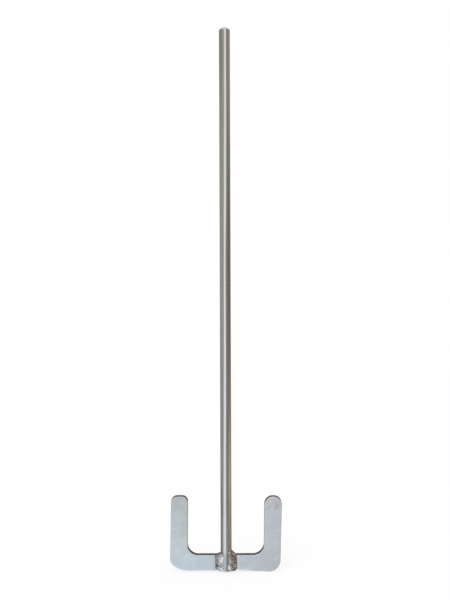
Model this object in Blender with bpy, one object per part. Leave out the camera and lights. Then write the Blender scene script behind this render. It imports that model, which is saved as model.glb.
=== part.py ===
"""Mortar mixing paddle: a round steel shaft with two L-shaped blades welded to its foot.

Units are metres and +Z runs up the shaft. The origin lies on the shaft's axis, at its foot. The
right blade points to +X, and -Y is the front.
"""

import math

import bmesh
import bpy
from mathutils import Matrix, Vector

MM = 0.001
LEFT, RIGHT = -1, 1
FRONT, REAR = -1, 1

# Shaft: a straight bar, chamfered where it goes into the drill chuck
SHAFT_LENGTH = 493.2 * MM
SHAFT_DIAMETER = 10.0 * MM
SHANK_CHAMFER = 1.3 * MM
FOOT_CHAMFER = 0.3 * MM
SHAFT_SIDES = 64

# Blades: flat plates, each a crossbar with an upright arm at its outer end. They were cut and set by
# hand, so an arm leans a little at its tip, outwards where the lean is positive, and flares there. The
# foot of the right one slopes, and the left one's heel is longer than it is high
BLADE_THICKNESS = 5.0 * MM
CROSSBAR_HEIGHT = 14.1 * MM
INNER_RADIUS = 10.0 * MM
LEFT_REACH = 45.9 * MM
LEFT_HEIGHT = 67.5 * MM
LEFT_ARM_WIDTH = 16.0 * MM
LEFT_FOOT_AT_SHAFT = 0.4 * MM
LEFT_FOOT_AT_HEEL = 0.4 * MM
LEFT_HEEL_RUN = 17.0 * MM
LEFT_HEEL_RISE = 10.4 * MM
LEFT_TIP_RADIUS = 5.5 * MM
LEFT_TIP_LEAN = -0.6 * MM
LEFT_TIP_FLARE = -0.7 * MM
RIGHT_REACH = 43.8 * MM
RIGHT_HEIGHT = 67.1 * MM
RIGHT_ARM_WIDTH = 14.7 * MM
RIGHT_FOOT_AT_SHAFT = 1.1 * MM
RIGHT_FOOT_AT_HEEL = -1.7 * MM
RIGHT_HEEL_RUN = 11.0 * MM
RIGHT_HEEL_RISE = 11.0 * MM
RIGHT_TIP_RADIUS = 7.3 * MM
RIGHT_TIP_LEAN = 0.8 * MM
RIGHT_TIP_FLARE = 1.2 * MM
BROKEN_EDGE = 0.3 * MM
EDGE_SEGMENTS = 2
ARC_STEPS = 8

# How much of the plate beside it a rounded corner may take up
LARGEST_TIP = 0.48
LARGEST_HEEL_RUN = 0.45
LARGEST_HEEL_RISE = 0.4
LARGEST_FILLET = 0.5

# Clearance left between every two pieces that meet
ROOT_GAP = 0.3 * MM

# Fillet beads, which run up the shaft on both faces of the crossbars
WELD_LEG = 4.8 * MM
WELD_CROWN = 0.5 * MM
WELD_TOE = 0.2 * MM
BARE_STRIP = 2.8 * MM
BEAD_FOOT = 0.3 * MM
BEAD_OVERRUN = 0.8 * MM
LONG_BEAD_OVERRUN = 3.6 * MM
BEAD_END = 1.5 * MM
CREST_RUNOUT = 5.0 * MM
LEAST_FULLNESS = 0.5
RIPPLE_COUNT = 5
RIPPLE_DEPTH = 0.06
RIPPLE_STEPS = 5
SECTION_STEPS = 8

# End returns of the welds, on the upper edge of the crossbars
LEFT_RETURN_RISE = 1.9 * MM
LEFT_RETURN_RUN = 4.2 * MM
RIGHT_RETURN_RISE = 4.0 * MM
RIGHT_RETURN_RUN = 4.2 * MM
RETURN_CROWN = 0.35 * MM
RETURN_STEPS = 10

# Finishes: sRGB colour, roughness
SHAFT_FINISH = ((0xA9, 0xAA, 0xA8), 0.22)
LEFT_BLADE_FINISH = ((0xBC, 0xC9, 0xD1), 0.38)
RIGHT_BLADE_FINISH = ((0xB7, 0xBE, 0xC6), 0.38)
WELD_FINISH = ((0x8C, 0x82, 0x7A), 0.45)

# Edges that turn less than this are shaded smooth, and edges that turn more are broken
SMOOTH_TURN = math.radians(35.0)
SQUARE_TURN = math.radians(50.0)

# Worked out from the sizes above
SHAFT_RADIUS = SHAFT_DIAMETER / 2.0
CLEAR_RADIUS = SHAFT_RADIUS + ROOT_GAP
CLEAR_FACE = BLADE_THICKNESS / 2.0 + ROOT_GAP


def clear_scene():
    """Remove every object that the file starts with."""
    for old in list(bpy.data.objects):
        bpy.data.objects.remove(old, do_unlink=True)


def linear(channel):
    """An 8-bit sRGB channel as the linear value that a shader takes."""
    share = channel / 255.0
    if share <= 0.04045:
        return share / 12.92
    return ((share + 0.055) / 1.055) ** 2.4


def steel(name, finish):
    """A metal material of one sRGB colour and roughness."""
    colour, roughness = finish
    material = bpy.data.materials.new(name)
    material.use_nodes = True
    shader = material.node_tree.nodes["Principled BSDF"]
    shader.inputs["Base Color"].default_value = [linear(c) for c in colour] + [1.0]
    shader.inputs["Metallic"].default_value = 1.0
    shader.inputs["Roughness"].default_value = roughness
    return material


def add_object(name, shape, parent, place, finish):
    """Turn a bmesh into a named object with its own material, at a place on its parent."""
    bmesh.ops.recalc_face_normals(shape, faces=shape.faces[:])
    mesh = bpy.data.meshes.new(name)
    shape.to_mesh(mesh)
    shape.free()
    mesh.materials.append(steel(f"{name}_steel", finish))
    made = bpy.data.objects.new(name, mesh)
    made.parent = parent
    made.location = place
    bpy.context.scene.collection.objects.link(made)
    return made


def shade_round(made):
    """Shade an object smooth, with its true edges left sharp."""
    made.data.shade_smooth()
    made.data.set_sharp_from_angle(angle=SMOOTH_TURN)


def add_shaft(parent):
    """A bar on the Z axis, with a chamfer at each end."""
    shape = bmesh.new()
    bmesh.ops.create_cone(
        shape,
        cap_ends=True,
        segments=SHAFT_SIDES,
        radius1=SHAFT_RADIUS,
        radius2=SHAFT_RADIUS,
        depth=SHAFT_LENGTH,
        matrix=Matrix.Translation((0.0, 0.0, SHAFT_LENGTH / 2.0)),
    )
    caps = sorted((f for f in shape.faces if len(f.edges) == SHAFT_SIDES), key=lambda f: f.verts[0].co.z)
    for cap, chamfer in zip(caps, (FOOT_CHAMFER, SHANK_CHAMFER)):
        bmesh.ops.bevel(shape, geom=cap.edges[:], offset=chamfer, segments=1, affect="EDGES")
    shade_round(add_object("shaft", shape, parent, (0.0, 0.0, 0.0), SHAFT_FINISH))


def rounded_outline(corners):
    """Points of a closed outline, from its corners as (u, z, before, after).

    A corner is rounded by an arc, which takes up those lengths of the two edges that meet there.
    """
    points = []
    for index, (u, z, before, after) in enumerate(corners):
        corner = Vector((u, z))
        if before == 0.0:
            points.append(corner)
            continue
        back = (Vector(corners[index - 1][:2]) - corner).normalized() * before
        ahead = (Vector(corners[(index + 1) % len(corners)][:2]) - corner).normalized() * after
        for step in range(ARC_STEPS + 1):
            turn = math.pi / 2.0 * step / ARC_STEPS
            points.append(corner + back * (1.0 - math.sin(turn)) + ahead * (1.0 - math.cos(turn)))
    return points


def add_blade(name, parent, side, size, foot, heel, tip, finish):
    """An L-shaped plate beside the shaft, drawn from its inner lower corner and broken at its edges.

    The size is its reach, height and arm width, and the foot its height at the shaft and at the heel.
    The heel is how far its arc runs and rises, and the tip its radius, lean and flare.
    """
    reach, height, arm_width = size
    tip_radius, tip_lean, tip_flare = tip
    inner = reach - arm_width
    run = min(heel[0], LARGEST_HEEL_RUN * reach)
    rise = min(heel[1], LARGEST_HEEL_RISE * height)
    end = min(tip_radius, LARGEST_TIP * arm_width)
    fillet = min(INNER_RADIUS, LARGEST_FILLET * inner, LARGEST_FILLET * (height - CROSSBAR_HEIGHT))
    corners = [
        (0.0, foot[0], 0.0, 0.0),
        (reach, foot[1], run, rise),
        (reach + tip_lean + tip_flare, height, end, end),
        (inner + tip_lean, height, end, end),
        (inner, CROSSBAR_HEIGHT, fillet, fillet),
        (0.0, CROSSBAR_HEIGHT, 0.0, 0.0),
    ]
    shape = bmesh.new()
    front = -BLADE_THICKNESS / 2.0
    rim = [shape.verts.new((side * u, front, z)) for u, z in rounded_outline(corners)]
    face = shape.faces.new(rim)
    pulled = bmesh.ops.extrude_face_region(shape, geom=[face])["geom"]
    moved = [v for v in pulled if isinstance(v, bmesh.types.BMVert)]
    bmesh.ops.translate(shape, verts=moved, vec=(0.0, BLADE_THICKNESS, 0.0))
    blade = add_object(name, shape, parent, (side * CLEAR_RADIUS, 0.0, 0.0), finish)
    edge = blade.modifiers.new("broken_edge", "BEVEL")
    edge.width = BROKEN_EDGE
    edge.segments = EDGE_SEGMENTS
    edge.limit_method = "ANGLE"
    edge.angle_limit = SQUARE_TURN


def crowned(start, end, crown):
    """Points of a curve from start to end that swells by crown to the left of its way."""
    chord = end - start
    outward = Vector((-chord.y, chord.x)).normalized()
    pull = (start + end) / 2.0 + outward * 2.0 * crown
    curve = []
    for step in range(SECTION_STEPS + 1):
        t = step / SECTION_STEPS
        curve.append(start * (1.0 - t) ** 2 + pull * 2.0 * t * (1.0 - t) + end * t**2)
    return curve


def bead_section(leg_share, crest_share):
    """A fillet bead's section: u away from the shaft's axis, v away from the plates' mid-plane.

    The shares say how much of its full way the bead reaches, out along the blade and round the shaft.
    """
    root = math.asin(CLEAR_FACE / CLEAR_RADIUS)
    crest = root + crest_share * (math.acos(BARE_STRIP / 2.0 / CLEAR_RADIUS) - root)
    root_u = CLEAR_RADIUS * math.cos(root)
    toe_u = root_u + leg_share * (SHAFT_RADIUS + WELD_LEG - root_u)
    section = []
    for step in range(SECTION_STEPS + 1):
        angle = root + (crest - root) * step / SECTION_STEPS
        section.append(Vector((math.cos(angle), math.sin(angle))) * CLEAR_RADIUS)
    on_shaft = Vector((math.cos(crest), math.sin(crest))) * (CLEAR_RADIUS + WELD_TOE)
    on_blade = Vector((toe_u, CLEAR_FACE + WELD_TOE))
    section += crowned(on_shaft, on_blade, crest_share * WELD_CROWN)
    section.append(Vector((toe_u, CLEAR_FACE)))
    return section


def fullness(depth):
    """How full a bead is: least at its very end, and 1 from where depth, the way in, reaches 1."""
    if depth >= 1.0:
        return 1.0
    return LEAST_FULLNESS + (1.0 - LEAST_FULLNESS) * math.sqrt(1.0 - (1.0 - depth) ** 2)


def loft(sections):
    """A closed skin over equal sections, given as lists of points."""
    shape = bmesh.new()
    rings = [[shape.verts.new(point) for point in section] for section in sections]
    for low, high in zip(rings, rings[1:]):
        for index in range(len(low)):
            shape.faces.new((low[index - 1], low[index], high[index], high[index - 1]))
    shape.faces.new(rings[0])
    shape.faces.new(rings[-1])
    return shape


def add_side_weld(name, parent, side, facing, overrun):
    """A rippled fillet bead in the corner between the shaft and one face of a crossbar."""
    length = CROSSBAR_HEIGHT + overrun - BEAD_FOOT
    steps = RIPPLE_COUNT * RIPPLE_STEPS
    sections = []
    for step in range(steps + 1):
        up, down = length * step / steps, length * (steps - step) / steps
        swell = abs(math.sin(math.pi * step / RIPPLE_STEPS))
        ripple = 1.0 - RIPPLE_DEPTH * (1.0 - swell)
        leg_share = ripple * fullness(min(up, down) / BEAD_END)
        crest_share = ripple * fullness(min(up / BEAD_END, down / CREST_RUNOUT))
        section = bead_section(leg_share, crest_share)
        sections.append([(side * u, facing * v, up) for u, v in section])
    shade_round(add_object(name, loft(sections), parent, (0.0, 0.0, BEAD_FOOT), WELD_FINISH))


def add_top_weld(name, parent, side, rise, run):
    """A small bead across a crossbar's upper edge, in the corner that it makes with the shaft."""
    half = BLADE_THICKNESS / 2.0
    sections = []
    for step in range(RETURN_STEPS + 1):
        y = BLADE_THICKNESS * step / RETURN_STEPS - half
        share = fullness(1.0 - abs(y) / half)
        wall = math.sqrt(CLEAR_RADIUS**2 - y**2)
        toe_u = CLEAR_RADIUS + share * run
        on_shaft = Vector((wall + WELD_TOE, share * rise))
        on_blade = Vector((toe_u, WELD_TOE))
        section = [Vector((wall, 0.0)), Vector((wall, share * rise))]
        section += crowned(on_shaft, on_blade, share * RETURN_CROWN)
        section.append(Vector((toe_u, 0.0)))
        sections.append([(side * u, y, z) for u, z in section])
    place = (0.0, 0.0, CROSSBAR_HEIGHT + ROOT_GAP)
    shade_round(add_object(name, loft(sections), parent, place, WELD_FINISH))


def build_paddle():
    """The whole paddle, on one empty at the foot of the shaft."""
    paddle = bpy.data.objects.new("paddle", None)
    bpy.context.scene.collection.objects.link(paddle)
    add_shaft(paddle)
    left_size = (LEFT_REACH, LEFT_HEIGHT, LEFT_ARM_WIDTH)
    left_foot = (LEFT_FOOT_AT_SHAFT, LEFT_FOOT_AT_HEEL)
    left_heel = (LEFT_HEEL_RUN, LEFT_HEEL_RISE)
    left_tip = (LEFT_TIP_RADIUS, LEFT_TIP_LEAN, LEFT_TIP_FLARE)
    add_blade("left_blade", paddle, LEFT, left_size, left_foot, left_heel, left_tip, LEFT_BLADE_FINISH)
    right_size = (RIGHT_REACH, RIGHT_HEIGHT, RIGHT_ARM_WIDTH)
    right_foot = (RIGHT_FOOT_AT_SHAFT, RIGHT_FOOT_AT_HEEL)
    right_heel = (RIGHT_HEEL_RUN, RIGHT_HEEL_RISE)
    right_tip = (RIGHT_TIP_RADIUS, RIGHT_TIP_LEAN, RIGHT_TIP_FLARE)
    add_blade("right_blade", paddle, RIGHT, right_size, right_foot, right_heel, right_tip, RIGHT_BLADE_FINISH)
    add_side_weld("weld_front_left", paddle, LEFT, FRONT, BEAD_OVERRUN)
    add_side_weld("weld_front_right", paddle, RIGHT, FRONT, LONG_BEAD_OVERRUN)
    add_side_weld("weld_rear_left", paddle, LEFT, REAR, BEAD_OVERRUN)
    add_side_weld("weld_rear_right", paddle, RIGHT, REAR, BEAD_OVERRUN)
    add_top_weld("weld_top_left", paddle, LEFT, LEFT_RETURN_RISE, LEFT_RETURN_RUN)
    add_top_weld("weld_top_right", paddle, RIGHT, RIGHT_RETURN_RISE, RIGHT_RETURN_RUN)


clear_scene()
build_paddle()
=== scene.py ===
# %% [markdown]
# # A welded mixing paddle
# A mason turns this paddle with a drill to stir mortar. It is about as simple as a tool can be: a
# round steel bar, two L-shaped plates cut from flat strip, and the weld metal that holds them
# together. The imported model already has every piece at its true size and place. This script keeps
# those places and gives each piece the surface that its making left behind: drawn lines on the bar,
# a rolled skin on the plates, dark cut edges, and lumpy, heat-stained weld beads.

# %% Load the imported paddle
import math

import bmesh
import bpy
from mathutils import Matrix, Vector, noise


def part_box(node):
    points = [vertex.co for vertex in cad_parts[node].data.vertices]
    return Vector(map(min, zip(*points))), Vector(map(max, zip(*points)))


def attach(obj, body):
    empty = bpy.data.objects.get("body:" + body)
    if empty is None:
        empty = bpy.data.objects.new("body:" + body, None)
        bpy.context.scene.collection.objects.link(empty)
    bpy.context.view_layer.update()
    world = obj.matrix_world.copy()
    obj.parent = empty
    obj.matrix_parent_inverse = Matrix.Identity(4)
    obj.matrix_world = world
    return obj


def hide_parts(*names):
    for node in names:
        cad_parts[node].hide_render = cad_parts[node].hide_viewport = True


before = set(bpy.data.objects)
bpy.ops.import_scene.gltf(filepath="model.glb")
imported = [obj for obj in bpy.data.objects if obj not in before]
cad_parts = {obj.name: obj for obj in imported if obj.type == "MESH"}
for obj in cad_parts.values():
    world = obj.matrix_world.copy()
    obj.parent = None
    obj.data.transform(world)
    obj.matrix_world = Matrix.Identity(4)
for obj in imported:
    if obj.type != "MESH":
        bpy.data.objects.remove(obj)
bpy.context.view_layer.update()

print("nodes:", sorted(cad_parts))

# %% [markdown]
# ## Sizes that everything else hangs on
# The shaft and the blades say where everything is, so their boxes are read from the imported model
# and not typed in again. Only the height of the crossbars is typed, because a blade's box reaches up
# to the tip of its arm. The welds are fitted to those sizes later, which keeps them seated in the
# corner that they fill.

# %% Read the main sizes from the imported model
MM = 0.001
LEFT, RIGHT = -1, 1
FRONT, REAR = -1, 1

shaft_low, shaft_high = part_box("shaft")
SHAFT_RADIUS = (shaft_high.x - shaft_low.x) / 2
SHAFT_LENGTH = shaft_high.z - shaft_low.z

left_low, left_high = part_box("left_blade")
right_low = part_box("right_blade")[0]
PLATE_HALF = (left_high.y - left_low.y) / 2
PLATE_START = right_low.x
CROSSBAR_HEIGHT = 14.1 * MM
print(f"shaft {2000 * SHAFT_RADIUS:.1f} mm thick, {1000 * SHAFT_LENGTH:.1f} mm long")
print(f"plates {2000 * PLATE_HALF:.1f} mm thick, starting {1000 * PLATE_START:.1f} mm from the axis")

# %% [markdown]
# ## Helpers for materials
# Colours are easiest to compare with a photograph as sRGB hex values, but shaders work in linear
# light, so one function converts them. A second one adds a node, sets it up and links it, which
# keeps each recipe short enough to read from top to bottom.

# %% Colours and nodes
def colour(code):
    """Turn an sRGB hex code such as "#BCC9D1" into the linear RGBA that a shader takes."""
    shares = [int(code[start:start + 2], 16) / 255 for start in (1, 3, 5)]
    linear = [s / 12.92 if s <= 0.04045 else ((s + 0.055) / 1.055) ** 2.4 for s in shares]
    return linear + [1.0]


def add_node(tree, kind, feeds=None, stops=None, **settings):
    """Add a node. Each feed is a value for an input, or another node's output that is linked to it."""
    made = tree.nodes.new(kind)
    for name, value in settings.items():
        setattr(made, name, value)
    if stops:
        ramp = made.color_ramp.elements
        ramp.remove(ramp[-1])
        ramp[0].position, ramp[0].color = stops[0][0], colour(stops[0][1])
        for place, code in stops[1:]:
            ramp.new(place).color = colour(code)
    for name, value in (feeds or {}).items():
        if isinstance(value, bpy.types.NodeSocket):
            tree.links.new(value, made.inputs[name])
        else:
            made.inputs[name].default_value = value
    return made


def start_metal(name, code, roughness):
    """Start a metal: the material, its node tree, its shader and the place on the surface in metres."""
    metal = bpy.data.materials.new(name)
    metal.use_nodes = True
    tree = metal.node_tree
    shader = tree.nodes["Principled BSDF"]
    shader.inputs["Base Color"].default_value = colour(code)
    shader.inputs["Metallic"].default_value = 1.0
    shader.inputs["Roughness"].default_value = roughness
    place = add_node(tree, "ShaderNodeTexCoord").outputs["Object"]
    return metal, tree, shader, place


# A Mix node has sockets for several kinds of data under the same names, so the colour ones go by number
FACTOR, COLOUR_A, COLOUR_B, COLOUR_OUT = 0, 6, 7, 2


def per_metre(size_mm):
    """The Scale of a texture whose pattern repeats every size_mm, on coordinates in metres."""
    return 1000 / size_mm


print("mid grey in linear light:", round(colour("#808080")[0], 3))

# %% [markdown]
# ## Bright drawn bar
# The shaft is cold-drawn mild steel: pulled through a die, it comes out round, bright and smooth,
# with fine lines along its length. The lines are far finer than a pixel, so they are drawn at 0.6
# mm to show at all. A wave would be too regular for them, so noise that is stretched along Z gives
# them, and it breaks up the roughness more than the colour, because on bright metal it is the
# sharpness of the reflection that changes. Towards the foot the heat of welding has dulled the bar
# more and more, and between the welds it left a thin grey scale.

# %% The shaft's steel
DRAW_LINE = 0.6
LINE_SQUEEZE = 0.012
DULL_PATCH = 45.0
SCALE_START = CROSSBAR_HEIGHT + 4.5 * MM
SCALE_FULL = CROSSBAR_HEIGHT - 0.5 * MM
DULL_START = 150.0 * MM
HEAT_DULLING = 0.13
SCALE_DULLING = 0.05

bar_steel, tree, shader, place = start_metal("cold_drawn_bar_steel", "#BDBFBE", 0.2)
stretched = add_node(tree, "ShaderNodeMapping", {
    "Vector": place, "Scale": (1.0, 1.0, LINE_SQUEEZE)})
lines = add_node(tree, "ShaderNodeTexNoise", {
    "Vector": stretched.outputs["Vector"], "Scale": per_metre(DRAW_LINE), "Detail": 3.0})
patches = add_node(tree, "ShaderNodeTexNoise", {
    "Vector": place, "Scale": per_metre(DULL_PATCH), "Detail": 4.0})
line_shade = add_node(tree, "ShaderNodeMix", {
    FACTOR: lines.outputs["Fac"], COLOUR_A: colour("#B4B6B4"), COLOUR_B: colour("#C6C9C9")},
    data_type="RGBA")
axes = add_node(tree, "ShaderNodeSeparateXYZ", {"Vector": place})
scale = add_node(tree, "ShaderNodeMapRange", {
    "Value": axes.outputs["Z"], "From Min": SCALE_START, "From Max": SCALE_FULL})
scaled = add_node(tree, "ShaderNodeMix", {
    FACTOR: scale.outputs["Result"], COLOUR_A: line_shade.outputs[COLOUR_OUT],
    COLOUR_B: colour("#A0A5A9")}, data_type="RGBA")
tree.links.new(scaled.outputs[COLOUR_OUT], shader.inputs["Base Color"])
gloss = add_node(tree, "ShaderNodeMath", {
    0: lines.outputs["Fac"], 1: patches.outputs["Fac"]}, operation="ADD")
gloss_range = add_node(tree, "ShaderNodeMapRange", {
    "Value": gloss.outputs["Value"], "From Min": 0.7, "From Max": 1.3, "To Min": 0.11, "To Max": 0.21})
heated = add_node(tree, "ShaderNodeMapRange", {
    "Value": axes.outputs["Z"], "From Min": DULL_START, "From Max": SCALE_START,
    "To Max": HEAT_DULLING})
dulled = add_node(tree, "ShaderNodeMath", {
    0: gloss_range.outputs["Result"], 1: heated.outputs["Result"]}, operation="ADD")
scaly = add_node(tree, "ShaderNodeMath", {
    0: scale.outputs["Result"], 1: SCALE_DULLING, 2: dulled.outputs["Value"]},
    operation="MULTIPLY_ADD")
tree.links.new(scaly.outputs["Value"], shader.inputs["Roughness"])
grooves = add_node(tree, "ShaderNodeBump", {
    "Height": lines.outputs["Fac"], "Strength": 0.25, "Distance": 0.02 * MM})
tree.links.new(grooves.outputs["Normal"], shader.inputs["Normal"])
print("made", bar_steel.name)

# %% [markdown]
# ## Sawn ends
# Both ends of the bar were cut with a saw, which leaves fine parallel marks, and then broken on a
# grinder. A banded wave of half a millimetre, slightly distorted, reads as saw marks when the light
# rakes over it. At Scale 1 a band is as long as a twentieth of a full turn, so its scale is worked
# out from that. The metal is duller than the drawn skin beside it.

# %% The ends of the shaft
SAW_MARK = 0.5
WAVE_BAND = 2 * math.pi / 20

sawn_steel, tree, shader, place = start_metal("sawn_bar_end_steel", "#8A877E", 0.42)
marks = add_node(tree, "ShaderNodeTexWave", {
    "Vector": place, "Scale": WAVE_BAND * per_metre(SAW_MARK), "Distortion": 3.0, "Detail": 3.0},
    bands_direction="X")
saw_shade = add_node(tree, "ShaderNodeMix", {
    FACTOR: marks.outputs["Fac"], COLOUR_A: colour("#7F7C73"), COLOUR_B: colour("#949188")},
    data_type="RGBA")
tree.links.new(saw_shade.outputs[COLOUR_OUT], shader.inputs["Base Color"])
saw_relief = add_node(tree, "ShaderNodeBump", {
    "Height": marks.outputs["Fac"], "Strength": 0.5, "Distance": 0.03 * MM})
tree.links.new(saw_relief.outputs["Normal"], shader.inputs["Normal"])
print("made", sawn_steel.name)

# %% [markdown]
# ## Rolled plate
# The blades were cut from cold-rolled strip, whose satin skin is a cool grey. Four things keep it
# from looking like paint: cloudy patches about a centimetre wide, a faint rolling grain, rubbed and
# stained spots from handling, and a narrow band beside the welds, where the heat tinted the skin.
# One large spot on the left plate's heel is no stain but painted shade, which dims how brightly the
# heel mirrors the softbox.
# The band is worked out from the distance to the weld's toe, so it is in the same place on both
# faces. The two plates are from different strips, so their grain differs: the left one's lies nearly
# level, while the grain of the right one runs slantwise. The colour of both also changes with height:
# the left plate is blue at its foot and turns a dull grey up its arm.
# The grain is really finer than a pixel and is drawn at 2 mm to show.

# %% The plates' steel
CLOUD = 9.0
GRAIN = 2.0
GRAIN_STRETCH = 8.0
GRAIN_DEPTH = 0.6
WELD_LEG = 5.5 * MM
WELD_TOE = SHAFT_RADIUS + WELD_LEG
HEAT_BAND = 1.8 * MM
HEAT_DEPTH = 0.9
TINT_FOOT = 6.0 * MM
TINT_HEAD = 66.0 * MM
MARK_DEPTH = 4.0 * PLATE_HALF
MARK_RAGGED = 3.0 * MM


def plate_steel(name, pale, deep, rising, heated, grain_turn, shift, marks):
    """Rolled plate between two shades, tinted with height as rising says, and with the shade heated
    beside the weld. The grain runs at grain_turn, shift moves the patches, and each mark is its
    shade, middle, half length, half width and turn, in mm and degrees."""
    metal, tree, shader, place = start_metal(name, pale, 0.36)
    moved = add_node(tree, "ShaderNodeMapping", {"Vector": place, "Location": (shift, 0.0, shift)})
    clouds = add_node(tree, "ShaderNodeTexNoise", {
        "Vector": moved.outputs["Vector"], "Scale": per_metre(CLOUD), "Detail": 6.0,
        "Roughness": 0.7})
    cloud_share = add_node(tree, "ShaderNodeMapRange", {
        "Value": clouds.outputs["Fac"], "From Min": 0.35, "From Max": 0.65})
    cloudy = add_node(tree, "ShaderNodeMix", {
        FACTOR: cloud_share.outputs["Result"], COLOUR_A: colour(pale), COLOUR_B: colour(deep)},
        data_type="RGBA")
    along = add_node(tree, "ShaderNodeMapping", {
        "Vector": place, "Rotation": (0.0, grain_turn, 0.0), "Scale": (GRAIN_STRETCH, 1.0, 1.0)},
        vector_type="TEXTURE")
    grain = add_node(tree, "ShaderNodeTexNoise", {
        "Vector": along.outputs["Vector"], "Scale": per_metre(GRAIN), "Detail": 4.0,
        "Roughness": 0.6})
    grain_share = add_node(tree, "ShaderNodeMapRange", {
        "Value": grain.outputs["Fac"], "From Min": 0.38, "From Max": 0.62, "To Max": GRAIN_DEPTH})
    skin = add_node(tree, "ShaderNodeMix", {
        FACTOR: grain_share.outputs["Result"], COLOUR_A: cloudy.outputs[COLOUR_OUT],
        COLOUR_B: colour(deep)}, data_type="RGBA")
    axes = add_node(tree, "ShaderNodeSeparateXYZ", {"Vector": place})
    height = add_node(tree, "ShaderNodeMapRange", {
        "Value": axes.outputs["Z"], "From Min": TINT_FOOT, "From Max": TINT_HEAD})
    tint = add_node(tree, "ShaderNodeValToRGB", {"Fac": height.outputs["Result"]}, stops=rising)
    skin = add_node(tree, "ShaderNodeMix", {
        FACTOR: 1.0, COLOUR_A: skin.outputs[COLOUR_OUT], COLOUR_B: tint.outputs["Color"]},
        data_type="RGBA", blend_type="MULTIPLY")
    ragged = add_node(tree, "ShaderNodeVectorMath", {
        0: grain.outputs["Color"], 1: (MARK_RAGGED,) * 3, 2: place}, operation="MULTIPLY_ADD")
    for shade, (x, z), half_length, half_width, turn in marks:
        middle = Vector((x * MM, 0.0, z * MM)) + Vector((MARK_RAGGED,) * 3) / 2
        on_mark = add_node(tree, "ShaderNodeMapping", {
            "Vector": ragged.outputs["Vector"], "Location": middle,
            "Rotation": (0.0, math.radians(turn), 0.0),
            "Scale": (half_length * MM, MARK_DEPTH, half_width * MM)}, vector_type="TEXTURE")
        mark = add_node(tree, "ShaderNodeTexGradient", {"Vector": on_mark.outputs["Vector"]},
                        gradient_type="SPHERICAL")
        skin = add_node(tree, "ShaderNodeMix", {
            FACTOR: mark.outputs["Fac"], COLOUR_A: skin.outputs[COLOUR_OUT],
            COLOUR_B: colour(shade)}, data_type="RGBA")
    reach = add_node(tree, "ShaderNodeMath", {0: axes.outputs["X"]}, operation="ABSOLUTE")
    heat = add_node(tree, "ShaderNodeMapRange", {
        "Value": reach.outputs["Value"], "From Min": WELD_TOE, "From Max": WELD_TOE + HEAT_BAND,
        "To Min": HEAT_DEPTH, "To Max": 0.0})
    finish = add_node(tree, "ShaderNodeMix", {
        FACTOR: heat.outputs["Result"], COLOUR_A: skin.outputs[COLOUR_OUT],
        COLOUR_B: colour(heated)}, data_type="RGBA")
    tree.links.new(finish.outputs[COLOUR_OUT], shader.inputs["Base Color"])
    sheen = add_node(tree, "ShaderNodeMapRange", {
        "Value": clouds.outputs["Fac"], "From Min": 0.3, "From Max": 0.7,
        "To Min": 0.32, "To Max": 0.42})
    tree.links.new(sheen.outputs["Result"], shader.inputs["Roughness"])
    relief = add_node(tree, "ShaderNodeBump", {
        "Height": grain.outputs["Fac"], "Strength": 0.2, "Distance": 0.03 * MM})
    tree.links.new(relief.outputs["Normal"], shader.inputs["Normal"])
    print("made", metal.name, "with", len(marks), "marks")
    return metal


left_tints = [(0.06, "#FCFAFB"), (0.3, "#FAF2ED"), (0.55, "#F2EAE6"), (1.0, "#E8DED9")]
# The last left mark, #B9C4C9 at the heel, is painted shade: it dims how brightly the heel mirrors the
# softbox
left_marks_and_heel_shade = [
    ("#DBE4E6", (-46.4, 37.8), 2.6, 0.5, 5), ("#DBE4E6", (-42.6, 39.2), 2.2, 0.5, -32),
    ("#AAB2B4", (-43.0, 58.0), 9.0, 4.0, 12), ("#B9C4C9", (-43.0, 7.0), 14.0, 9.0, 0),
]
right_tints = [(0.1, "#F3F6F9"), (0.3, "#F9FDFF"), (0.7, "#F9FCFE"), (1.0, "#F5F4F4")]
right_marks = [
    ("#B6B6C2", (46.0, 58.5), 5.0, 3.0, -50), ("#989AA2", (38.6, 57.2), 0.9, 0.9, 0),
    ("#DCE2E8", (45.6, 27.2), 1.5, 1.0, 40), ("#D6DCE3", (46.4, 20.0), 1.2, 2.2, 0),
]
left_plate_steel = plate_steel(
    "cold_rolled_plate_steel_left", "#C9D7DD", "#BCC9CF", left_tints, "#B7B8BE",
    math.radians(8), 0.0, left_marks_and_heel_shade)
right_plate_steel = plate_steel(
    "cold_rolled_plate_steel_right", "#DDE5EB", "#C7CED5", right_tints, "#D2D8E0",
    math.radians(-42), 0.3, right_marks)

# %% [markdown]
# ## Cut edges
# Where the plate was cut, the skin is gone: the edge is torn and covered in a dark oxide. It is a
# rougher and much darker metal, with short marks across the thickness of the plate. A mask could
# darken the plate's own material there, but the faces of the rim are known when the mesh is made,
# so they get a metal of their own.

# %% The edges of the plates
CUT_MARK = 0.8
CUT_SQUEEZE = 0.15

edge_steel, tree, shader, place = start_metal("flame_cut_edge_steel", "#55514C", 0.55)
squeezed = add_node(tree, "ShaderNodeMapping", {
    "Vector": place, "Scale": (1.0, CUT_SQUEEZE, 1.0)})
marks = add_node(tree, "ShaderNodeTexNoise", {
    "Vector": squeezed.outputs["Vector"], "Scale": per_metre(CUT_MARK), "Detail": 4.0})
cut_share = add_node(tree, "ShaderNodeMapRange", {
    "Value": marks.outputs["Fac"], "From Min": 0.35, "From Max": 0.7})
cut_shade = add_node(tree, "ShaderNodeMix", {
    FACTOR: cut_share.outputs["Result"], COLOUR_A: colour("#4D4840"), COLOUR_B: colour("#736D62")},
    data_type="RGBA")
tree.links.new(cut_shade.outputs[COLOUR_OUT], shader.inputs["Base Color"])
torn = add_node(tree, "ShaderNodeBump", {
    "Height": marks.outputs["Fac"], "Strength": 0.6, "Distance": 0.1 * MM})
tree.links.new(torn.outputs["Normal"], shader.inputs["Normal"])
print("made", edge_steel.name)

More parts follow.
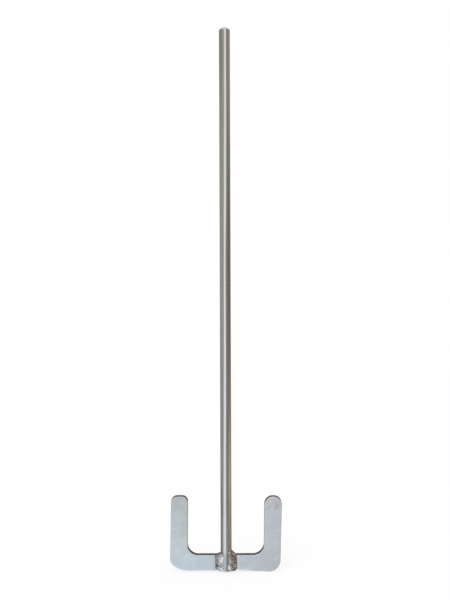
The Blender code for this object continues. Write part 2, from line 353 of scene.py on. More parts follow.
# %% [markdown]
# ## Weld metal
# Weld metal froze from a puddle, so it is shiny where it is clean. Heat and flux left a film on the
# rest, which goes from a grey haze over a dull brown to a light tan as it gets thicker. So one
# number for each point, called stain, is enough to choose the tint. A second one, soot, says how
# much slag is left in the hollows: that is a dark, dull crust and not a metal, so it takes the
# metallic look away as well. Both numbers are stored on the mesh when the beads are made, and fine
# noise breaks them up.

# %% The beads' steel
TINT_GRAIN = 1.4
SCALE_GRIT = 0.4
SOOT_DULLING = 0.5

weld_steel, tree, shader, place = start_metal("slag_stained_weld_steel", "#9A948E", 0.3)
stain = add_node(tree, "ShaderNodeAttribute", attribute_name="stain")
soot = add_node(tree, "ShaderNodeAttribute", attribute_name="soot")
mottle = add_node(tree, "ShaderNodeTexNoise", {
    "Vector": place, "Scale": per_metre(TINT_GRAIN), "Detail": 3.0, "Roughness": 0.6})
uneven = add_node(tree, "ShaderNodeMapRange", {
    "Value": mottle.outputs["Fac"], "From Min": 0.3, "From Max": 0.7,
    "To Min": -0.1, "To Max": 0.1})
tint = add_node(tree, "ShaderNodeMath", {
    0: stain.outputs["Fac"], 1: uneven.outputs["Result"]}, operation="ADD")
film = add_node(tree, "ShaderNodeValToRGB", {"Fac": tint.outputs["Value"]}, stops=[
    (0.0, "#CACFD4"), (0.3, "#AFB0B3"), (0.55, "#9F9995"), (0.78, "#A2988A"), (1.0, "#CDBFA4")])
slag = add_node(tree, "ShaderNodeMix", {
    FACTOR: soot.outputs["Fac"], COLOUR_A: film.outputs["Color"], COLOUR_B: colour("#332E28")},
    data_type="RGBA")
tree.links.new(slag.outputs[COLOUR_OUT], shader.inputs["Base Color"])
crust = add_node(tree, "ShaderNodeMapRange", {
    "Value": soot.outputs["Fac"], "From Min": 0.3, "From Max": 0.8, "To Min": 1.0, "To Max": 0.1})
tree.links.new(crust.outputs["Result"], shader.inputs["Metallic"])
grit = add_node(tree, "ShaderNodeTexNoise", {
    "Vector": place, "Scale": per_metre(SCALE_GRIT), "Detail": 3.0})
gloss = add_node(tree, "ShaderNodeMapRange", {
    "Value": grit.outputs["Fac"], "From Min": 0.3, "From Max": 0.7, "To Min": 0.16, "To Max": 0.34})
dusty = add_node(tree, "ShaderNodeMath", {
    0: soot.outputs["Fac"], 1: SOOT_DULLING, 2: gloss.outputs["Result"]}, operation="MULTIPLY_ADD")
tree.links.new(dusty.outputs["Value"], shader.inputs["Roughness"])
scale_relief = add_node(tree, "ShaderNodeBump", {
    "Height": grit.outputs["Fac"], "Strength": 0.3, "Distance": 0.04 * MM})
tree.links.new(scale_relief.outputs["Normal"], shader.inputs["Normal"])
print("made", weld_steel.name)

# %% [markdown]
# ## From mesh to piece
# Each piece below takes the place of one imported node. A single function turns a finished bmesh into
# an object, ties it to the paddle's one body and hides the node that it stands for.

# %% Add a piece
def add_piece(name, shape, metals, node):
    """Make a smooth-shaded object of a bmesh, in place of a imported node."""
    bmesh.ops.recalc_face_normals(shape, faces=shape.faces[:])
    mesh = bpy.data.meshes.new(name)
    shape.to_mesh(mesh)
    shape.free()
    mesh.shade_smooth()
    for metal in metals:
        mesh.materials.append(metal)
    piece = bpy.data.objects.new(name, mesh)
    bpy.context.scene.collection.objects.link(piece)
    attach(piece, "root")
    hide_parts(node)
    print(name, "has", len(mesh.polygons), "faces")
    return piece


print("nodes to take the place of:", len(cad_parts))

# %% [markdown]
# ## The shaft
# A turned shape is a profile spun around an axis. A bevelled cylinder would come close, but a
# profile says exactly where each corner lies. It runs up one side, and its corners are small arcs:
# a broken edge at the foot and a wider chamfer at the top, which helps the bar into the drill
# chuck. Two rings close together next to each corner keep the shading crisp there.

# %% Spin the shaft
SHAFT_SIDES = 128
SHANK_CHAMFER = 1.3 * MM
FOOT_CHAMFER = 0.3 * MM
CHAMFER_ROUND = 0.35 * MM
HOLD = 0.05 * MM
ARC_NEAR, ARC_MIDWAY = 0.1, 0.4


def shaft_profile():
    """Radius and height up the side of the shaft. Each rounding has one point between its ends, which
    lies a little off the straight lines beside it."""
    top = shaft_high.z
    foot = shaft_low.z
    slope = CHAMFER_ROUND / math.sqrt(2)
    side = SHAFT_RADIUS
    return [
        (side - FOOT_CHAMFER - HOLD, foot),
        (side - FOOT_CHAMFER, foot),
        (side, foot + FOOT_CHAMFER),
        (side, foot + FOOT_CHAMFER + HOLD),
        (side, top - SHANK_CHAMFER - CHAMFER_ROUND - HOLD),
        (side, top - SHANK_CHAMFER - CHAMFER_ROUND),
        (side - ARC_NEAR * CHAMFER_ROUND, top - SHANK_CHAMFER - ARC_MIDWAY * CHAMFER_ROUND),
        (side - slope, top - SHANK_CHAMFER + slope),
        (side - SHANK_CHAMFER + slope, top - slope),
        (side - SHANK_CHAMFER - ARC_NEAR * CHAMFER_ROUND, top - ARC_NEAR * CHAMFER_ROUND),
        (side - SHANK_CHAMFER - CHAMFER_ROUND, top),
        (side - SHANK_CHAMFER - CHAMFER_ROUND - HOLD, top),
    ]


GROUND_RINGS = 4

shape = bmesh.new()
rings = []
for radius, height in shaft_profile():
    ring = []
    for side in range(SHAFT_SIDES):
        turn = 2 * math.pi * side / SHAFT_SIDES
        ring.append(shape.verts.new((radius * math.cos(turn), radius * math.sin(turn), height)))
    rings.append(ring)
for level, (lower, upper) in enumerate(zip(rings, rings[1:])):
    ground = level >= len(rings) - 1 - GROUND_RINGS
    for side in range(SHAFT_SIDES):
        face = shape.faces.new((lower[side - 1], lower[side], upper[side], upper[side - 1]))
        face.material_index = int(ground)
for cap in (rings[0], rings[-1]):
    shape.faces.new(cap).material_index = 1
add_piece("shaft_bar", shape, [bar_steel, sawn_steel], "shaft")

# %% [markdown]
# ## The blades
# A blade is a flat outline with thickness. A bevelled curve would round its rim as well, but this
# mesh is built by hand, so that the rim can have a metal of its own. The outline is six corners,
# four of them rounded by arcs, and each point carries the direction that faces outwards there. The
# two blades were cut and set by eye: their arms lean a little to the right, and the foot of the
# right one slopes. Long straight runs get points too, so that the cut can waver by up to a tenth of
# a millimetre, as a cut made by hand does. The rim is then a stack of rings: each ring is the same
# outline pulled in a little, which rolls the face over into the cut edge. The last ring on the face
# lies just inside the rounding, so that the face itself stays flat in the light.

# %% Draw the outline of a blade
INNER_RADIUS = 10.0 * MM
ARC_STEPS = 24
RUN_STEP = 1.5 * MM
WAVER = 0.08 * MM
WAVER_LENGTH = 7.0 * MM


def rounded_outline(corners):
    """Points and outward directions of a closed outline, from its corners as (u, z, before, after):
    an arc at each corner takes up those lengths of the two edges that meet there."""
    outline = []
    for index, (u, z, before, after) in enumerate(corners):
        corner = Vector((u, z))
        back = (Vector(corners[index - 1][:2]) - corner).normalized()
        ahead = (Vector(corners[(index + 1) % len(corners)][:2]) - corner).normalized()
        if before == 0.0:
            outward = -(back + ahead).normalized() / math.sin(back.angle(ahead) / 2)
            outline.append((corner, outward))
            continue
        for step in range(ARC_STEPS + 1):
            turn = math.pi / 2 * step / ARC_STEPS
            at = corner + back * before * (1 - math.sin(turn))
            at += ahead * after * (1 - math.cos(turn))
            way = ahead * after * math.sin(turn) - back * before * math.cos(turn)
            outline.append((at, Vector((way.y, -way.x)).normalized()))
    return outline


def hand_cut(outline):
    """The same outline with points along its straight runs, drawn in by a small wavering amount."""
    cut = []
    for (start, out), (end, _) in zip(outline, outline[1:] + outline[:1]):
        run = end - start
        steps = max(math.ceil(run.length / RUN_STEP), 1)
        facing = Vector((run.y, -run.x)).normalized()
        cut.append((start, out))
        for step in range(1, steps):
            cut.append((start + run * step / steps, facing))
    wavered = []
    for at, out in cut:
        draw = WAVER * (0.5 + 0.5 * noise.noise(Vector((at.x, at.y, 0.0)) / WAVER_LENGTH))
        wavered.append((at - out * draw, out))
    return wavered


def blade_corners(size, foot, heel, tip):
    """An L from its inner lower corner, outwards, up the arm and back along the crossbar. The size is
    its reach, height and arm width, the foot its height at the shaft and at the heel, the heel how
    far its arc runs and rises, and the tip its radius, lean and flare, all in mm."""
    reach, height, arm_width = [part * MM for part in size]
    run, rise = [part * MM for part in heel]
    radius, lean, flare = [part * MM for part in tip]
    outer = PLATE_START + reach
    inner = outer - arm_width
    return [
        (PLATE_START, foot[0] * MM, 0.0, 0.0),
        (outer, foot[1] * MM, run, rise),
        (outer + lean + flare, height, radius, radius),
        (inner + lean, height, radius, radius),
        (inner, CROSSBAR_HEIGHT, INNER_RADIUS, INNER_RADIUS),
        (PLATE_START, CROSSBAR_HEIGHT, 0.0, 0.0),
    ]


left_outline = hand_cut(rounded_outline(blade_corners(
    size=(45.9, 67.5, 16.0), foot=(0.4, 0.4), heel=(17.0, 10.4), tip=(5.5, -0.6, -0.7))))
right_outline = hand_cut(rounded_outline(blade_corners(
    size=(43.8, 67.1, 14.7), foot=(1.1, -1.7), heel=(11.0, 11.0), tip=(7.3, 0.8, 1.2))))
print("the outlines have", len(left_outline), "and", len(right_outline), "points")

# %% Build a blade from its outline
EDGE_ROUND = 0.3 * MM
EDGE_STEPS = 4
BURNISHED = 4


def rim_profile():
    """How far the rim is pulled in, and its y, from the front face over the edge to the back face."""
    front = [(EDGE_ROUND + HOLD, -PLATE_HALF)]
    for step in range(EDGE_STEPS + 1):
        turn = math.pi / 2 * step / EDGE_STEPS
        pulled = EDGE_ROUND * (1 - math.sin(turn))
        front.append((pulled, -PLATE_HALF + EDGE_ROUND * (1 - math.cos(turn))))
    return front + [(pulled, -y) for pulled, y in reversed(front)]


def add_blade(name, node, side, outline, metals):
    """A plate of one outline, with its two faces in the first metal and its edge in the second."""
    shape = bmesh.new()
    rings = []
    for pulled, y in rim_profile():
        points = [at - out * pulled for at, out in outline]
        rings.append([shape.verts.new((side * p.x, y, p.y)) for p in points])
    last = len(rings) - 2
    for level, (lower, upper) in enumerate(zip(rings, rings[1:])):
        cut = BURNISHED <= level <= last - BURNISHED
        for index in range(len(lower)):
            face = shape.faces.new((lower[index - 1], lower[index], upper[index], upper[index - 1]))
            face.material_index = int(cut)
    for ring in (rings[0], rings[-1]):
        shape.faces.new(ring)
    return add_piece(name, shape, metals, node)


add_blade("left_blade_plate", "left_blade", LEFT, left_outline, [left_plate_steel, edge_steel])
add_blade("right_blade_plate", "right_blade", RIGHT, right_outline, [right_plate_steel, edge_steel])

# %% [markdown]
# ## The weld beads
# A bead fills the corner between the round shaft and the flat blade. It could be a sculpted lump,
# but a bead has a plain logic that code can follow: one section, swept up the shaft. The section
# runs from its toe on the blade to its crest on the shaft and swells between them. Both edges sink
# a little into the steel beside them, because weld metal is fused to it and shows no gap.

# %% The section of a bead
BARE_STRIP = 2.8 * MM
BEAD_CROWN = 0.45 * MM
SUNK = 0.3 * MM
BEAD_FOOT = 0.15 * MM
BEAD_END = 2.6 * MM
TOE_TAPER = 0.6 * MM
CREST_AT_FOOT = 0.85
CREST_AT_TOP = 0.1
TOE_WANDER = 0.05
WANDER_LENGTH = 2.2 * MM
WANDER_ROW = 3.1
ACROSS_STEPS = 48
ALONG_STEPS = 112


def ease(share):
    """Rise smoothly from 0 to 1 as the share does, and stay there."""
    share = min(max(share, 0.0), 1.0)
    return share * share * (3 - 2 * share)


def bead_ends(z, top, runout, foot_share):
    """How far a bead reaches at height z, as shares along the blade and round the shaft. At its very
    foot it reaches foot_share of its full way along the blade."""
    start = ease((z - BEAD_FOOT) / BEAD_END)
    along_blade = foot_share + (1 - foot_share) * start
    along_blade *= ease((top - z) / (top - CROSSBAR_HEIGHT + TOE_TAPER))
    round_shaft = CREST_AT_FOOT + (1 - CREST_AT_FOOT) * start
    round_shaft *= CREST_AT_TOP + (1 - CREST_AT_TOP) * ease((top - z) / runout)
    return along_blade, round_shaft


def bead_curve(z, top, runout, foot_share, seed):
    """Points and outward directions of the bead's outer skin at height z, from its toe to its crest."""
    along_blade, round_shaft = bead_ends(z, top, runout, foot_share)
    root = math.asin(PLATE_HALF / SHAFT_RADIUS)
    crest = root + round_shaft * (math.acos(BARE_STRIP / 2 / SHAFT_RADIUS) - root)
    root_u = SHAFT_RADIUS * math.cos(root)
    wander = TOE_WANDER * noise.noise(Vector((seed, WANDER_ROW, z / WANDER_LENGTH)))
    toe_u = root_u + along_blade * (1.0 + wander) * (WELD_TOE - root_u)
    toe = Vector((toe_u, PLATE_HALF - SUNK))
    tip = Vector((math.cos(crest), math.sin(crest))) * (SHAFT_RADIUS - SUNK)
    chord = tip - toe
    outward = Vector((chord.y, -chord.x)).normalized()
    pull = (toe + tip) / 2 + outward * 2 * (BEAD_CROWN * along_blade + SUNK)
    curve = []
    for step in range(ACROSS_STEPS + 1):
        t = step / ACROSS_STEPS
        at = toe * (1 - t) ** 2 + pull * 2 * t * (1 - t) + tip * t**2
        way = (pull - toe) * (1 - t) + (tip - pull) * t
        curve.append((at, Vector((way.y, -way.x)).normalized()))
    return curve


print("a bead's section has", ACROSS_STEPS + 1, "points across")

# %% [markdown]
# ## Globs, stains and slag
# A hand-held electrode drops its metal in globs, one over the other, and each one freezes wider
# across the bead than along it, with its front bowed. Cells of a Voronoi pattern give round globs
# with sharp creases between them, and a little noise keeps the cells from looking like paving. A
# few large ones are placed one by one where the welder paused. The same list form places the stains.
# Slag gathers in the creases and along the edges.

# %% Shape and stain the skin of a bead
GLOB_WIDTH = 3.0 * MM
GLOB_LENGTH = 2.0 * MM
GLOB_HEIGHT = 0.45 * MM
GLOB_BOW = 0.6
GLOB_TOP = 0.4
GLOB_DRIFT = 0.4
CREASE = 0.2
CREASE_SOOT = 0.55
CREASE_PATCHES = 0.6
MOST_SOOT = 0.95
RIM = 0.17
BEAD_WIDTH = 9.0 * MM
PROUDEST = SHAFT_RADIUS + 0.25 * MM
SQUEEZE = 0.12 * MM
GLOB_SEED = 8

# Without a seed, noise_vector starts from the clock and the globs would differ each time
noise.seed_set(GLOB_SEED)


def spots(marks, z, t):
    """Sum of soft spots, given as (height, share across, size, amount) with height and size in mm."""
    total = 0.0
    for height, across, size, amount in marks:
        up = (z / MM - height) / size
        over = (t - across) * BEAD_WIDTH / MM / size
        total += amount * math.exp(-up * up - over * over)
    return total


def globs(z, t, seed):
    """Height of the globs on a bead, and how much slag lies in a crease at the point, from 0 to 1."""
    bow = GLOB_BOW * (2 * t - 1) ** 2
    spot = Vector((t * BEAD_WIDTH / GLOB_WIDTH, z / GLOB_LENGTH + bow, seed))
    spot += GLOB_DRIFT * noise.noise_vector(spot)
    nearest, second = noise.voronoi(spot)[0][:2]
    crease = 1 - ease((second - nearest) / CREASE)
    patchy = CREASE_PATCHES * (1 + noise.noise(spot))
    return GLOB_HEIGHT * (GLOB_TOP - nearest**2), crease * patchy


def close_loft(sections):
    """A closed skin over a row of rings. Each point of a ring has its place, its stain and its soot."""
    shape = bmesh.new()
    stain = shape.verts.layers.float.new("stain")
    soot = shape.verts.layers.float.new("soot")
    rings = []
    for section in sections:
        ring = []
        for place, tint, slag in section:
            point = shape.verts.new(place)
            point[stain] = tint
            point[soot] = slag
            ring.append(point)
        rings.append(ring)
    for lower, upper in zip(rings, rings[1:]):
        for index in range(len(lower)):
            shape.faces.new((lower[index - 1], lower[index], upper[index], upper[index - 1]))
    for ring in (rings[0], rings[-1]):
        shape.faces.new(ring)
    return shape


def squeezed_in(y):
    """A height over the plates' middle, kept softly under the proudest that a bead may stand."""
    return PROUDEST - SQUEEZE * math.log(1 + math.exp((PROUDEST - y) / SQUEEZE))


print(f"globs of about {GLOB_WIDTH / MM:.1f} by {GLOB_LENGTH / MM:.1f} mm")

# %% Sweep a bead up the shaft
HIDDEN_CORNER = Vector((0.86 * SHAFT_RADIUS, 0.5 * PLATE_HALF))


def add_bead(name, node, side, facing, overrun, runout, foot_share, stain,
             edges, lumps, stains, slags, seed):
    """A bead on one side and face, up past the crossbar by overrun, closed by a corner that the steel
    hides. Edges is the slag along its toe and its crest, and the lumps, stains and slags are spots on
    top of its globs, its own stain and its soot."""
    top = CROSSBAR_HEIGHT + overrun
    sections = []
    for step in range(ALONG_STEPS + 1):
        z = BEAD_FOOT + (top - BEAD_FOOT) * step / ALONG_STEPS
        ring = [(HIDDEN_CORNER, 0.0, 0.0)]
        for index, (at, out) in enumerate(bead_curve(z, top, runout, foot_share, seed)):
            t = index / ACROSS_STEPS
            fade = math.sin(math.pi * t) ** 0.5
            rise, crease = globs(z, t, seed)
            skin = at + out * fade * (rise + spots(lumps, z, t) * MM)
            skin.y = squeezed_in(skin.y)
            rim = edges[0] * (1 - ease(t / RIM)) + edges[1] * (1 - ease((1 - t) / RIM))
            slag = CREASE_SOOT * crease + rim + spots(slags, z, t)
            slag = min(max(slag, 0.0), MOST_SOOT)
            ring.append((skin, stain + spots(stains, z, t), slag))
        sections.append([((side * p.x, facing * p.y, z), tint, slag) for p, tint, slag in ring])
    return add_piece(name, close_loft(sections), [weld_steel], node)


add_bead(
    "bead_front_left", "weld_front_left", LEFT, FRONT, overrun=2.2 * MM, runout=5.0 * MM,
    foot_share=0.5, stain=0.03, edges=(0.9, 0.1),
    lumps=[(10.0, 0.86, 2.4, 0.4), (3.2, 0.25, 1.3, 0.4), (1.8, 0.74, 1.4, 0.4),
           (5.0, 0.2, 1.3, -0.5), (14.0, 0.25, 2.2, 0.4), (4.4, 0.66, 1.2, 0.2)],
    stains=[(15.0, 0.3, 2.8, 0.66), (14.4, 0.75, 1.6, 0.3), (9.5, 0.12, 2.2, 0.6),
            (7.2, 0.66, 1.4, 0.5), (4.3, 0.66, 1.2, 0.7), (10.2, 0.82, 1.8, -0.2),
            (2.2, 0.7, 1.6, -0.2)],
    slags=[(5.2, 0.22, 1.9, 1.1), (10.0, 0.82, 2.0, -0.7), (2.2, 0.7, 1.4, -0.7),
           (2.0, 0.28, 1.3, 0.35), (9.6, 0.34, 1.5, 0.25), (14.6, 0.4, 2.6, 0.34),
           (0.6, 0.5, 0.8, 0.6), (4.4, 0.68, 1.2, 0.2)],
    seed=1.7)
add_bead(
    "bead_front_right", "weld_front_right", RIGHT, FRONT, overrun=4.4 * MM, runout=1.8 * MM,
    foot_share=0.75, stain=0.48, edges=(0.3, 0.8),
    lumps=[(16.9, 0.62, 1.6, 0.65), (2.6, 0.78, 1.7, 0.6), (10.5, 0.7, 2.2, 0.3),
           (5.9, 0.24, 1.5, 0.5), (15.0, 0.3, 0.7, 0.4), (13.4, 0.14, 0.7, 0.4)],
    stains=[(17.3, 0.66, 1.8, 0.5), (10.4, 0.28, 2.4, 0.14), (5.9, 0.24, 1.8, 0.55),
            (3.6, 0.86, 2.3, -0.6), (15.0, 0.3, 0.8, -0.4), (13.4, 0.14, 0.8, -0.4),
            (9.6, 0.9, 0.8, -0.2), (12.0, 0.85, 0.8, -0.15)],
    slags=[(14.3, 0.5, 1.9, 0.95), (5.9, 0.56, 1.1, 0.95), (1.4, 0.3, 1.8, 0.9),
           (15.0, 0.3, 0.7, -0.9), (13.4, 0.14, 0.7, -0.9), (17.3, 0.66, 1.4, -0.6),
           (3.7, 0.9, 2.2, -0.75), (5.9, 0.24, 1.3, -0.5), (9.8, 0.76, 2.4, -0.1)],
    seed=5.2)
add_bead(
    "bead_rear_left", "weld_rear_left", LEFT, REAR, overrun=0.9 * MM, runout=4.0 * MM,
    foot_share=0.6, stain=0.3, edges=(0.7, 0.5),
    lumps=[(5.5, 0.5, 1.9, 0.6), (11.0, 0.55, 1.8, 0.5)],
    stains=[(12.0, 0.3, 3.0, 0.4), (3.0, 0.6, 2.5, -0.25)],
    slags=[(8.4, 0.3, 1.2, 0.7)],
    seed=8.9)
add_bead(
    "bead_rear_right", "weld_rear_right", RIGHT, REAR, overrun=0.9 * MM, runout=4.5 * MM,
    foot_share=0.6, stain=0.15, edges=(0.7, 0.5),
    lumps=[(3.0, 0.5, 1.8, 0.5), (8.8, 0.6, 2.0, 0.7)],
    stains=[(13.0, 0.4, 2.6, 0.6), (6.0, 0.3, 2.0, 0.5)],
    slags=[(5.9, 0.6, 1.1, 0.7)],
    seed=12.4)

# %% [markdown]
# ## The end returns
# At the top of each crossbar the welder let the bead turn the corner, so a small wedge of weld
# climbs from the plate's upper edge onto the shaft. It is the same idea turned on its side: a
# section that runs from a toe on the edge to a crest on the shaft, swept from the front to the
# back.

# %% Sweep a return across the upper edge
RETURN_STEPS = 40
RETURN_ACROSS = 24
RETURN_CROWN = 0.35 * MM
RETURN_LUMP = 0.2 * MM
RETURN_HALF = PLATE_HALF + 0.9 * MM
LEAST_SHARE = 0.12
LUMPS_ACROSS = 2.2
LUMP_LENGTH = 1.8 * MM
RETURN_SOOT = 0.75
STAIN_MOTTLE, SOOT_MOTTLE = 0.15, 0.3


def add_return(name, node, side, rise, run, stain, seed):
    """A wedge of weld from the crossbar's upper edge, out by run, up the shaft by rise."""
    floor = CROSSBAR_HEIGHT - SUNK
    sections = []
    for step in range(RETURN_STEPS + 1):
        y = RETURN_HALF * (2 * step / RETURN_STEPS - 1)
        share = math.sqrt(max(1 - (y / RETURN_HALF) ** 2, 0.0))
        share = LEAST_SHARE + (1 - LEAST_SHARE) * share
        wall = math.sqrt(SHAFT_RADIUS**2 - y**2) - SUNK
        toe = Vector((wall + share * run, floor))
        tip = Vector((wall, floor + share * rise))
        chord = tip - toe
        outward = Vector((chord.y, -chord.x)).normalized()
        pull = (toe + tip) / 2 + outward * 2 * share * RETURN_CROWN
        ring = [(Vector((wall - SUNK, floor - SUNK)), 0.0, 0.0)]
        for index in range(RETURN_ACROSS + 1):
            t = index / RETURN_ACROSS
            at = toe * (1 - t) ** 2 + pull * 2 * t * (1 - t) + tip * t**2
            waver = noise.noise(Vector((t * LUMPS_ACROSS, y / LUMP_LENGTH, seed)))
            swell = RETURN_LUMP * share * math.sin(math.pi * t) ** 0.5 * waver
            slag = RETURN_SOOT - SOOT_MOTTLE * waver
            ring.append((at + outward * swell, stain + STAIN_MOTTLE * waver, slag))
        sections.append([((side * p.x, y, p.y), tint, slag) for p, tint, slag in ring])
    return add_piece(name, close_loft(sections), [weld_steel], node)


add_return("return_top_left", "weld_top_left", LEFT, rise=1.9 * MM, run=4.2 * MM, stain=0.7, seed=2.3)
add_return("return_top_right", "weld_top_right", RIGHT, rise=4.3 * MM, run=4.5 * MM, stain=0.75, seed=6.1)

# %% [markdown]
# ## Floor and light
# The paddle stands on a plain white floor under a white sky, and one broad soft lamp from the front
# left gives the floor a faint shadow. The lamp and the sky add up to about 1 on the floor, so a
# colour renders about as it is written. The camera and the shiny steel both see the sky at full
# white. For the camera the floor glows a little as well, which keeps its shadow but makes it
# fainter. The steel doesn't see the floor, which would only hide the lower half of the sky from it.

# %% White sky and one soft lamp
SKY_LIGHT = 0.79
LAMP_LIGHT = 0.31
LAMP_SPREAD = math.radians(50)
LAMP_TILT = math.radians(42)
LAMP_TURN = math.radians(-30)

world = bpy.data.worlds.new("white_sky")
bpy.context.scene.world = world
world.use_nodes = True
tree = world.node_tree
path = add_node(tree, "ShaderNodeLightPath")
seen = add_node(tree, "ShaderNodeMath", {
    0: path.outputs["Is Camera Ray"], 1: path.outputs["Is Glossy Ray"]}, operation="ADD")
seen_clear = add_node(tree, "ShaderNodeMath", {
    0: seen.outputs["Value"], 1: path.outputs["Is Transmission Ray"]}, operation="ADD", use_clamp=True)
strength = add_node(tree, "ShaderNodeMapRange", {
    "Value": seen_clear.outputs["Value"], "To Min": SKY_LIGHT, "To Max": 1.0})
sky = tree.nodes["Background"]
sky.inputs["Color"].default_value = colour("#FFFFFF")
tree.links.new(strength.outputs["Result"], sky.inputs["Strength"])

lamp = bpy.data.lights.new("soft_lamp", "SUN")
lamp.energy = LAMP_LIGHT * math.pi
lamp.angle = LAMP_SPREAD
soft_lamp = bpy.data.objects.new("soft_lamp", lamp)
soft_lamp.rotation_euler = (LAMP_TILT, 0.0, LAMP_TURN)
bpy.context.scene.collection.objects.link(soft_lamp)
print("light on the floor:", round(SKY_LIGHT + LAMP_LIGHT * math.cos(LAMP_TILT), 2))

# %% White floor
FLOOR_SIZE = 30.0
FLOOR_DROP = 0.2 * MM
FLOOR_GLOW = 0.78


def add_panels(name, panels, paint):
    """A stage object of flat panels, each given by its corners."""
    shape = bmesh.new()
    for corners in panels:
        shape.faces.new([shape.verts.new(corner) for corner in corners])
    mesh = bpy.data.meshes.new(name)
    shape.to_mesh(mesh)
    shape.free()
    mesh.materials.append(paint)
    made = bpy.data.objects.new(name, mesh)
    bpy.context.scene.collection.objects.link(made)
    print(name, "has", len(panels), "panels")
    return made


floor_white = bpy.data.materials.new("matt_white_floor")
floor_white.use_nodes = True
tree = floor_white.node_tree
shader = tree.nodes["Principled BSDF"]
shader.inputs["Base Color"].default_value = colour("#FEFEFE")
shader.inputs["Roughness"].default_value = 1.0
shader.inputs["Specular IOR Level"].default_value = 0.0
path = add_node(tree, "ShaderNodeLightPath")
glow_share = add_node(tree, "ShaderNodeMath", {
    0: path.outputs["Is Camera Ray"], 1: FLOOR_GLOW}, operation="MULTIPLY")
glow = add_node(tree, "ShaderNodeEmission", {"Color": colour("#FFFFFF")})
lit = add_node(tree, "ShaderNodeMixShader", {
    0: glow_share.outputs["Value"], 1: shader.outputs["BSDF"], 2: glow.outputs["Emission"]})
tree.links.new(lit.outputs["Shader"], tree.nodes["Material Output"].inputs["Surface"])
level = right_low.z - FLOOR_DROP
far = FLOOR_SIZE / 2
floor_corners = [(-far, -far, level), (far, -far, level), (far, far, level), (-far, far, level)]
studio_floor = add_panels("studio_floor", [floor_corners], floor_white)
studio_floor.visible_glossy = False

# %% [markdown]
# ## Screens for the steel to mirror
# Bright steel has hardly a colour of its own: it shows what stands around it. A photographer hangs
# a softbox in front of a shiny bar and curves screens round its sides, and so does this scene. The
# left screen is mid grey, the right one a warm brown that is darkest halfway up, and both change
# shade towards their front and their back. Their front edges lean, so that the bright streak
# between them drifts to the right towards the top of the shaft. A round bar mirrors a direction at
# twice the angle by which its surface is turned, so the edges are given as angles round the shaft.
# The softbox and the screens glow somewhat brighter than white, to make up for what the screens
# take away from the plates. They show only in reflections: they throw no shadow and never cross the
# picture.

# %% Paint for the screens
SCREEN_GLOW = 1.25
SOFTBOX_GLOW = 1.47
SCREEN_FOOT = -2.0
SCREEN_HEAD = 2.4


def glow_paint(name, strength, rising, bands=()):
    """A glowing paint with colours at heights in metres. Each band is one more colour, with the angles
    round the shaft between which it takes over."""
    paint = bpy.data.materials.new(name)
    paint.use_nodes = True
    tree = paint.node_tree
    tree.nodes.remove(tree.nodes["Principled BSDF"])
    place = add_node(tree, "ShaderNodeTexCoord").outputs["Object"]
    axes = add_node(tree, "ShaderNodeSeparateXYZ", {"Vector": place})
    height = add_node(tree, "ShaderNodeMapRange", {
        "Value": axes.outputs["Z"], "From Min": SCREEN_FOOT, "From Max": SCREEN_HEAD})
    span = SCREEN_HEAD - SCREEN_FOOT
    shade = add_node(tree, "ShaderNodeValToRGB", {"Fac": height.outputs["Result"]}, stops=[
        ((z - SCREEN_FOOT) / span, code) for z, code in rising]).outputs["Color"]
    if bands:
        aside = add_node(tree, "ShaderNodeMath", {0: axes.outputs["X"]}, operation="ABSOLUTE")
        ahead = add_node(tree, "ShaderNodeMath", {0: axes.outputs["Y"], 1: -1.0}, operation="MULTIPLY")
        angle = add_node(tree, "ShaderNodeMath", {
            0: aside.outputs["Value"], 1: ahead.outputs["Value"]}, operation="ARCTAN2")
    for code, start, end in bands:
        share = add_node(tree, "ShaderNodeMapRange", {
            "Value": angle.outputs["Value"],
            "From Min": math.radians(start), "From Max": math.radians(end)})
        shade = add_node(tree, "ShaderNodeMix", {
            FACTOR: share.outputs["Result"], COLOUR_A: shade, COLOUR_B: colour(code)},
            data_type="RGBA").outputs[COLOUR_OUT]
    glow = add_node(tree, "ShaderNodeEmission", {"Color": shade, "Strength": strength})
    tree.links.new(glow.outputs["Emission"], tree.nodes["Material Output"].inputs["Surface"])
    return paint


grey_paint = glow_paint("grey_screen_paint", SCREEN_GLOW, [
    (-1.2, "#9E9E9D"), (-0.9, "#A2A2A1"), (0.2, "#AEAEAC"), (1.2, "#ADA99E"), (1.8, "#928E84")],
    bands=[("#B4B4B1", 50, 12), ("#6E6E6C", 115, 170)])
brown_paint = glow_paint("brown_screen_paint", SCREEN_GLOW, [
    (-1.25, "#8F8577"), (-1.12, "#AFA292"), (-0.98, "#FFEAD0"), (-0.64, "#C4B3A0"),
    (-0.35, "#91857E"), (0.25, "#766868"), (0.6, "#776965"), (0.84, "#84756C"), (1.43, "#AF9E91")],
    bands=[("#908276", 81, 56), ("#A8998D", 40, 10), ("#978D84", 95, 120)])
softbox_paint = glow_paint("softbox_cloth_paint", SOFTBOX_GLOW, [
    (-1.8, "#F3F8FF"), (0.2, "#F0F5FA"), (2.2, "#F1F1F0")])
print("screens glow at", SCREEN_GLOW, "and the softbox at", SOFTBOX_GLOW)

# %% Curve the screens round the paddle
SCREEN_RADIUS = 3.0
SCREEN_STEPS = 24
BACK_LOW = 177
BACK_HIGH = 158


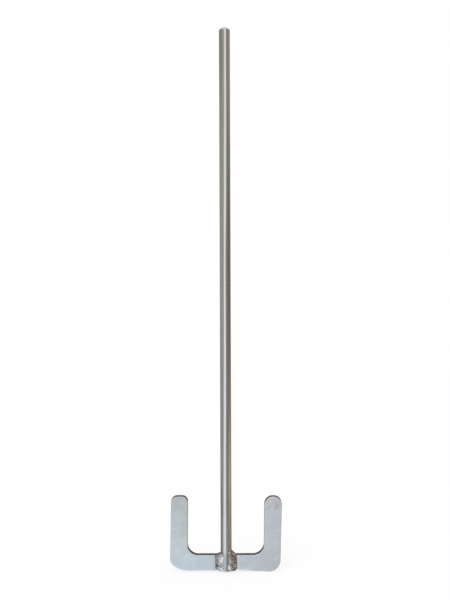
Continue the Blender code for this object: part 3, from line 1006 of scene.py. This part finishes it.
def curved_screen(side, edge):
    """Panels from a front edge, given as (height in metres, angle), round to the back of the paddle."""
    def corner(z, angle):
        """A point on the screen at a height and an angle from straight ahead."""
        turn = math.radians(angle)
        return side * SCREEN_RADIUS * math.sin(turn), -SCREEN_RADIUS * math.cos(turn), z

    columns = []
    for z, front in edge:
        back = BACK_LOW + (BACK_HIGH - BACK_LOW) * (z - SCREEN_FOOT) / (SCREEN_HEAD - SCREEN_FOOT)
        columns.append([corner(z, front + (back - front) * step / SCREEN_STEPS)
                        for step in range(SCREEN_STEPS + 1)])
    panels = []
    for low, high in zip(columns, columns[1:]):
        for step in range(SCREEN_STEPS):
            panels.append((low[step], low[step + 1], high[step + 1], high[step]))
    return panels


left_edge = [(SCREEN_FOOT, 67), (-1.3, 66), (-1.14, 57), (-0.95, 48.5), (-0.35, 39),
             (0.25, 29.5), (0.84, 20.5), (1.43, 5), (1.7, 2), (SCREEN_HEAD, 1)]
right_edge = [(SCREEN_FOOT, -3), (-1.1, -3), (-0.95, -2), (-0.64, 1), (-0.35, 10),
              (0.54, 8), (0.84, 26), (1.43, 34), (SCREEN_HEAD, 35)]
SOFTBOX_DISTANCE = 6.0
SOFTBOX_LEFT, SOFTBOX_RIGHT = -11.0, 5.0
SOFTBOX_FOOT, SOFTBOX_HEAD = -6.0, 6.0
softbox_corners = [(SOFTBOX_LEFT, SOFTBOX_FOOT), (SOFTBOX_RIGHT, SOFTBOX_FOOT),
                   (SOFTBOX_RIGHT, SOFTBOX_HEAD), (SOFTBOX_LEFT, SOFTBOX_HEAD)]
softbox = [[(x, -SOFTBOX_DISTANCE, z) for x, z in softbox_corners]]
for name, panels, paint in (
        ("grey_screen_left", curved_screen(LEFT, left_edge), grey_paint),
        ("brown_screen_right", curved_screen(RIGHT, right_edge), brown_paint),
        ("front_softbox", softbox, softbox_paint)):
    screen = add_panels(name, panels, paint)
    screen.visible_camera = False
    screen.visible_diffuse = False
    screen.visible_shadow = False

# %% [markdown]
# ## The camera
# The picture is upright, 450 by 600 pixels, and looks straight at the front. The camera is level
# with the middle of the shaft, and so close that the upper edges of the blades show. Its distance
# and lens come from how wide those edges look, and it is turned by a hair, because the shaft leans
# slightly in the picture.

# %% Place the camera
PICTURE_WIDTH, PICTURE_HEIGHT = 450, 600
SENSOR = 36.0
LENS = 35.96
CAMERA_DISTANCE = 547.0 * MM
CAMERA_HEIGHT = 246.0 * MM
CAMERA_SIDE = -0.26 * MM
CAMERA_ROLL = math.radians(-0.196)
NEAREST_SEEN = 10.0 * MM

lens = bpy.data.cameras.new("camera")
lens.lens = LENS
lens.sensor_width = SENSOR
lens.clip_start = NEAREST_SEEN
lens.dof.use_dof = False
camera = bpy.data.objects.new("camera", lens)
stand = Matrix.Translation((CAMERA_SIDE, -CAMERA_DISTANCE, CAMERA_HEIGHT))
level_view = Matrix.Rotation(math.pi / 2, 4, "X")
camera.matrix_world = stand @ level_view @ Matrix.Rotation(CAMERA_ROLL, 4, "Z")
bpy.context.scene.collection.objects.link(camera)
bpy.context.scene.camera = camera
bpy.context.scene.view_settings.view_transform = "Standard"


def pixel(point):
    """Where a point of the paddle lies in the picture."""
    seen = camera.matrix_world.inverted() @ Vector(point)
    zoom = PICTURE_HEIGHT * LENS / SENSOR / -seen.z
    return round(PICTURE_WIDTH / 2 + zoom * seen.x, 1), round(PICTURE_HEIGHT / 2 - zoom * seen.y, 1)


print("top of the shaft at pixel", pixel((0.0, 0.0, shaft_high.z)))
print("foot of the shaft at pixel", pixel((0.0, -SHAFT_RADIUS, shaft_low.z)))
print("heel of the left blade at pixel", pixel((left_low.x, -PLATE_HALF, left_low.z)))
